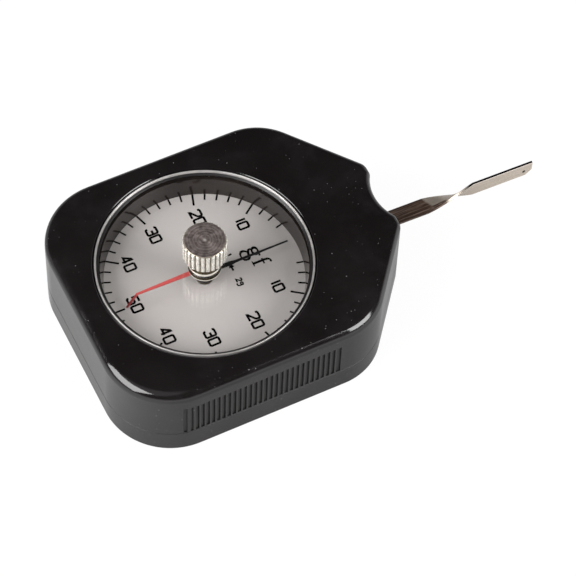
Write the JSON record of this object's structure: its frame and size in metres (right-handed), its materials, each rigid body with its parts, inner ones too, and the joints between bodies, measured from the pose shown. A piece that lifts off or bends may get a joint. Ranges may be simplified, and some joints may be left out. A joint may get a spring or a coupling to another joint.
{
  "type": "dial tension gauge",
  "caption": "Hand-held dial tension gauge: flat black case, round dial with measuring and drag pointers, fluted knob, and a twisted steel arm at the nose.",
  "frame": {"origin": "on the dial's axis, at the flat back face", "axes": "+X along the measuring arm towards its tip, +Z out of the dial towards the knob"},
  "size_m": [0.1196, 0.0634, 0.0322],
  "materials": {
    "case_plastic": "black moulded plastic, satin gloss",
    "ring_chrome": "polished chrome plate",
    "crystal_clear": "clear, polished",
    "dial_silver": "satin silver with black print",
    "plate_brass": "brushed brass",
    "steel": "turned and polished steel",
    "spring_steel": "blued spring steel",
    "arm_steel": "brushed steel strip",
    "screw_zinc": "plated steel",
    "pointer_black": "matt black paint",
    "pointer_red": "red paint",
    "knob_nickel": "nickel plate, turned"
  },
  "bodies": {
    "case": {"front_case": "case_plastic", "back_cover": "case_plastic", "case_screws": "screw_zinc", "bezel_ring": "ring_chrome", "crystal": "crystal_clear", "dial_plate": "dial_silver", "movement_plate": "plate_brass", "lower_plate": "plate_brass", "pillars": "plate_brass", "pillar_screws": "steel", "movement_screws": "steel", "arbor_bushes": "plate_brass", "staff_bushes": "plate_brass", "stop_pins": "steel", "hairspring_stud": "plate_brass", "spring_stud": "plate_brass", "crystal_bush": "knob_nickel"},
    "arm": {"arm_staff": "steel", "sector_gear": "plate_brass", "arm_hub": "plate_brass", "arm_clamp": "steel", "clamp_screws": "steel", "measuring_arm": "arm_steel", "spring_collet": "plate_brass", "measuring_spring": "spring_steel"},
    "pointer": {"pointer_arbor": "steel", "pointer_hub": "pointer_black", "measuring_pointer": "pointer_black", "hairspring_collet": "plate_brass", "hairspring": "spring_steel"},
    "drag_knob": {"knob": "knob_nickel", "knob_spindle": "steel", "friction_washer": "spring_steel", "drag_hub": "knob_nickel", "drag_pointer": "pointer_red"}
  },
  "joints": [
    {"name": "arm_swing", "type": "hinge", "parent": "case", "child": "arm", "pos_m": [0.0288, 0, 0.0102], "axis": [0, 0, 1], "range_deg": [-11.75, 11.75], "stiffness_Nm_per_rad": 0.14, "deforming": ["measuring_spring"]},
    {"name": "pointer_turn", "type": "hinge", "parent": "case", "child": "pointer", "pos_m": [0, 0, 0.01825], "axis": [0, 0, 1], "range_deg": [-176.5, 176.5], "deforming": ["hairspring"]},
    {"name": "knob_turn", "type": "hinge", "parent": "case", "child": "drag_knob", "pos_m": [0, 0, 0.029], "axis": [0, 0, 1], "range_deg": [-176, 176]}
  ],
  "couplings": [
    {"joint": "pointer_turn", "follows": "arm_swing", "ratio": -15}
  ]
}
